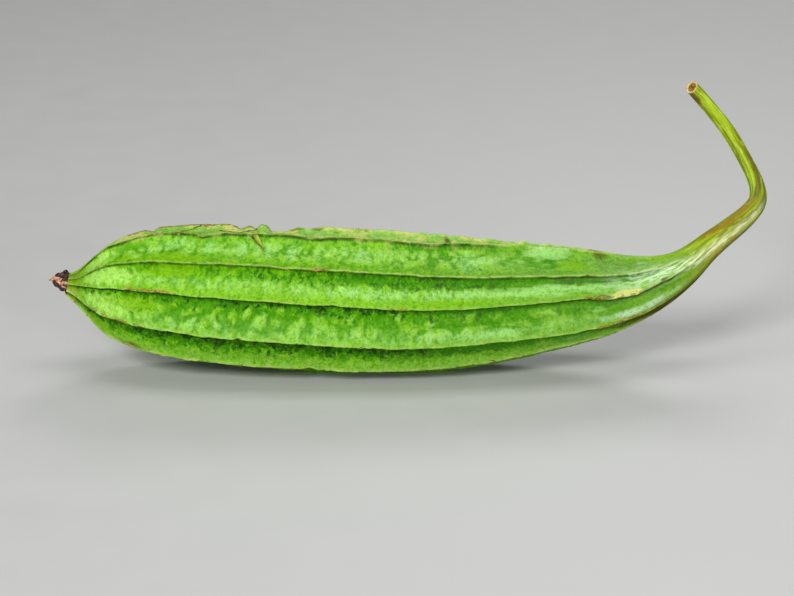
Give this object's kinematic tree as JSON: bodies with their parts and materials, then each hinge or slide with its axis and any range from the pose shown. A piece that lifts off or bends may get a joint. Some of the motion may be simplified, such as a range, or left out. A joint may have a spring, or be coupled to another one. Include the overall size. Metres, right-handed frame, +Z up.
{
  "type": "ridge gourd",
  "caption": "Long ridged green gourd lying on its side, tapering to a neck, with its ribbed bent stem cut short and the dried flower on its blunt end.",
  "frame": {"origin": "on the surface the gourd lies on, at the middle of its bounding box", "axes": "+Z up; +X along the fruit from the blossom end to the neck; +Y the side the stem bends towards"},
  "size_m": [0.2916, 0.1211, 0.0987],
  "materials": {
    "skin": "fresh waxy skin, mottled green with pale ridge edges",
    "stem_skin": "smooth ribbed yellow-green stem, slightly glossy",
    "withered_flower": "dry, matte, crumpled"
  },
  "bodies": {
    "root": {"ridged_fruit": "skin", "stem": "stem_skin", "dried_flower": "withered_flower"}
  },
  "joints": []
}
